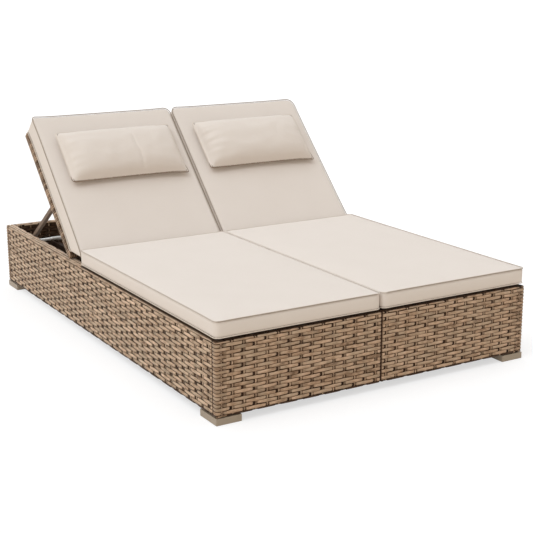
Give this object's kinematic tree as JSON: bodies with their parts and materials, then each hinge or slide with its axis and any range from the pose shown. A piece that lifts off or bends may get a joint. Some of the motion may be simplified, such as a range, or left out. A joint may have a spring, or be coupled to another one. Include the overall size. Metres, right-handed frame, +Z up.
{
  "type": "double chaise lounger",
  "caption": "Double chaise lounger: woven resin base with two adjustable backs, seat and back cushions and head pillows.",
  "frame": {"origin": "on the floor under the middle of the base", "axes": "+Z up, +Y from the foot end to the head end, +X to the right seen from the foot end"},
  "size_m": [1.3, 2, 0.8163],
  "materials": {
    "wicker": "flat resin wicker, mixed tan and brown",
    "cushion_fabric": "plain woven cream cover with taupe piping",
    "pillow_fabric": "plain woven cream cover, softly creased",
    "cushion_filling": "soft foam and fibre",
    "strip_fabric": "hook and loop tape",
    "frame_metal": "dark brown powder coat",
    "stay_metal": "brown powder coat, slightly worn",
    "foot_metal": "satin grey taupe",
    "bright_steel": "bright zinc plate",
    "zinc_fastener": "zinc plate",
    "sleeve_plastic": "white plastic",
    "glide_rubber": "matt black"
  },
  "bodies": {
    "base": {"back_panel_frame_left": "frame_metal", "back_panel_frame_right": "frame_metal", "back_panel_weave_left": "wicker", "back_panel_weave_right": "wicker", "centre_beam": "frame_metal", "centre_leg": "frame_metal", "deck_rails": "frame_metal", "foot_front_left": "foot_metal", "foot_front_right": "foot_metal", "foot_glides": "glide_rubber", "foot_rear_left": "foot_metal", "foot_rear_right": "foot_metal", "foot_screws": "zinc_fastener", "front_frame_left": "frame_metal", "front_frame_right": "frame_metal", "front_weave_left": "wicker", "front_weave_right": "wicker", "hinge_brackets_left": "bright_steel", "hinge_brackets_right": "bright_steel", "hinge_rails": "frame_metal", "hinge_screws": "zinc_fastener", "panel_bolts": "zinc_fastener", "rack_hangers": "frame_metal", "rack_rails": "frame_metal", "racks": "frame_metal", "seat_cushion_core_left": "cushion_filling", "seat_cushion_core_right": "cushion_filling", "seat_cushion_cover_left": "cushion_fabric", "seat_cushion_cover_right": "cushion_fabric", "seat_slats_left": "frame_metal", "seat_slats_right": "frame_metal", "side_frame_left": "frame_metal", "side_frame_right": "frame_metal", "side_weave_left": "wicker", "side_weave_right": "wicker", "slat_screws": "zinc_fastener"},
    "backrest_left": {"back_cushion_core_left": "cushion_filling", "back_cushion_cover_left": "cushion_fabric", "backrest_frame_left": "frame_metal", "backrest_weave_left": "wicker", "pillow_core_left": "cushion_filling", "pillow_cover_left": "pillow_fabric", "pillow_strip_left": "strip_fabric", "stay_ears_left": "frame_metal"},
    "backrest_right": {"back_cushion_core_right": "cushion_filling", "back_cushion_cover_right": "cushion_fabric", "backrest_frame_right": "frame_metal", "backrest_weave_right": "wicker", "pillow_core_right": "cushion_filling", "pillow_cover_right": "pillow_fabric", "pillow_strip_right": "strip_fabric", "stay_ears_right": "frame_metal"},
    "stay_left": {"stay_crossbar_left": "bright_steel", "stay_legs_left": "stay_metal", "stay_pins_left": "zinc_fastener", "stay_sleeves_left": "sleeve_plastic"},
    "stay_right": {"stay_crossbar_right": "bright_steel", "stay_legs_right": "stay_metal", "stay_pins_right": "zinc_fastener", "stay_sleeves_right": "sleeve_plastic"}
  },
  "joints": [
    {"name": "back_left_tilt", "type": "hinge", "parent": "base", "child": "backrest_left", "pos_m": [-0.3225, 0.25015, 0.301], "axis": [-1, 0, 0], "range_deg": [0, 45]},
    {"name": "stay_left_fold", "type": "hinge", "parent": "backrest_left", "child": "stay_left", "pos_m": [-0.323, 0.47077, 0.47636], "axis": [1, 0, 0], "range_deg": [0, 75.5]},
    {"name": "back_right_tilt", "type": "hinge", "parent": "base", "child": "backrest_right", "pos_m": [0.3225, 0.25015, 0.301], "axis": [-1, 0, 0], "range_deg": [0, 45]},
    {"name": "stay_right_fold", "type": "hinge", "parent": "backrest_right", "child": "stay_right", "pos_m": [0.323, 0.47077, 0.47636], "axis": [1, 0, 0], "range_deg": [0, 75.5]}
  ],
  "couplings": [
    {"joint": "stay_left_fold", "follows": "back_left_tilt", "ratio": 1.6762},
    {"joint": "stay_right_fold", "follows": "back_right_tilt", "ratio": 1.6762}
  ]
}
